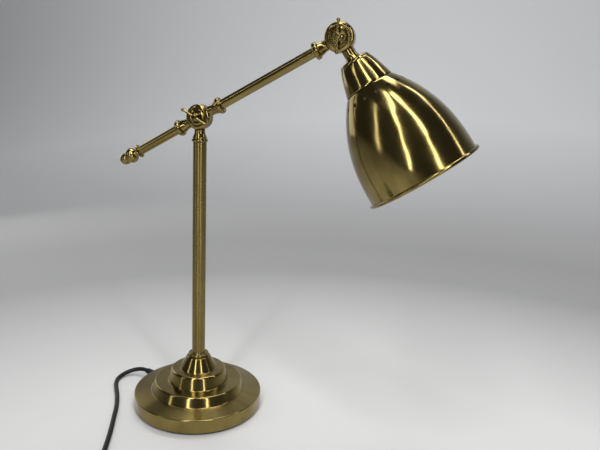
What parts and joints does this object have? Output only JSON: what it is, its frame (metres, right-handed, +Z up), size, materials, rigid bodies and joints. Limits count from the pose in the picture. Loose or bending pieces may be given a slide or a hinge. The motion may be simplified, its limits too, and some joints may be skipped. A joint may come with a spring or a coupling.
{
  "type": "desk lamp",
  "caption": "Desk lamp with a stepped round base, upright stem, pivoting arm with a turned finial, and a dome shade on a tilting knuckle.",
  "frame": {"origin": "centre of the underside of the base pad, on the table", "axes": "+Z up along the stem; the arm swings in the XZ plane with its shade end towards +X; the clamp screws face -Y"},
  "size_m": [0.5687, 0.3799, 0.5007],
  "materials": {
    "antique_brass": "polished, toned antique brass",
    "contact_brass": "bare pressed brass",
    "zinc_steel": "zinc-plated",
    "cap_metal": "bright nickel",
    "cast_weight": "rough cast",
    "felt": "felt",
    "black_rubber": "smooth, slightly glossy",
    "black_plastic": "fine satin",
    "fibre": "pressed fibre",
    "holder_plastic": "matt off-white",
    "bulb_glass": "clear",
    "filament": "coated sticks on a glass stem"
  },
  "bodies": {
    "lamp_base": {"base_shell": "antique_brass", "base_weight": "cast_weight", "base_plate": "zinc_steel", "base_pad": "felt", "plate_screws": "zinc_steel", "cord_bush": "black_rubber", "stem_rod": "zinc_steel", "rod_washer": "zinc_steel", "rod_nut": "zinc_steel", "stem_insert": "zinc_steel", "stem_collar": "antique_brass", "stem_tube": "antique_brass", "stem_knuckle": "antique_brass", "stem_lead": "black_rubber", "arm_friction_washer": "fibre", "cord_near": "black_rubber", "cord_mid": "black_rubber", "cord_coil": "black_rubber", "cord_tail": "black_rubber", "coil_tie": "black_plastic", "switch_bottom": "black_plastic", "switch_top": "black_plastic", "switch_screws": "zinc_steel", "plug_body": "black_plastic", "plug_pins": "cap_metal", "plug_relief": "black_rubber"},
    "arm": {"arm_knuckle": "antique_brass", "long_arm_tube": "antique_brass", "short_arm_tube": "antique_brass", "finial": "antique_brass", "arm_end_knuckle": "antique_brass", "arm_lead": "black_rubber", "arm_screw_washer": "antique_brass", "head_friction_washer": "fibre"},
    "arm_clamp_screw": {"arm_screw": "antique_brass", "arm_screw_bar": "antique_brass"},
    "head": {"shade_knuckle": "antique_brass", "nipple": "zinc_steel", "nipple_nut": "zinc_steel", "shade_cup": "antique_brass", "shade": "antique_brass", "shade_ring": "holder_plastic", "holder_cap": "holder_plastic", "holder_body": "holder_plastic", "holder_shell": "contact_brass", "holder_contact": "contact_brass", "terminal_screws": "contact_brass", "head_lead": "black_rubber", "bulb_cap": "cap_metal", "bulb_glass": "bulb_glass", "bulb_filament": "filament", "head_screw_washer": "antique_brass"},
    "head_clamp_screw": {"head_screw": "antique_brass", "head_screw_bar": "antique_brass"},
    "rocker": {"switch_rocker": "black_plastic"}
  },
  "joints": [
    {"name": "arm_tilt", "type": "hinge", "parent": "lamp_base", "child": "arm", "pos_m": [0, 0, 0.3856], "axis": [0, -1, 0], "range_deg": [-60, 12]},
    {"name": "head_tilt", "type": "hinge", "parent": "arm", "child": "head", "pos_m": [0.17031, 0, 0.48118], "axis": [0, 1, 0], "range_deg": [-100, 40]},
    {"name": "arm_screw_turn", "type": "hinge", "parent": "lamp_base", "child": "arm_clamp_screw", "pos_m": [0, 0, 0.3856], "axis": [0, -1, 0], "range_deg": [0, 360]},
    {"name": "head_screw_turn", "type": "hinge", "parent": "arm", "child": "head_clamp_screw", "pos_m": [0.17031, 0, 0.48118], "axis": [0, -1, 0], "range_deg": [0, 360]},
    {"name": "switch_rock", "type": "hinge", "parent": "lamp_base", "child": "rocker", "pos_m": [-0.038, -0.214, 0.0104], "axis": [0.9659, 0.2588, 0], "range_deg": [-12, 0]}
  ]
}
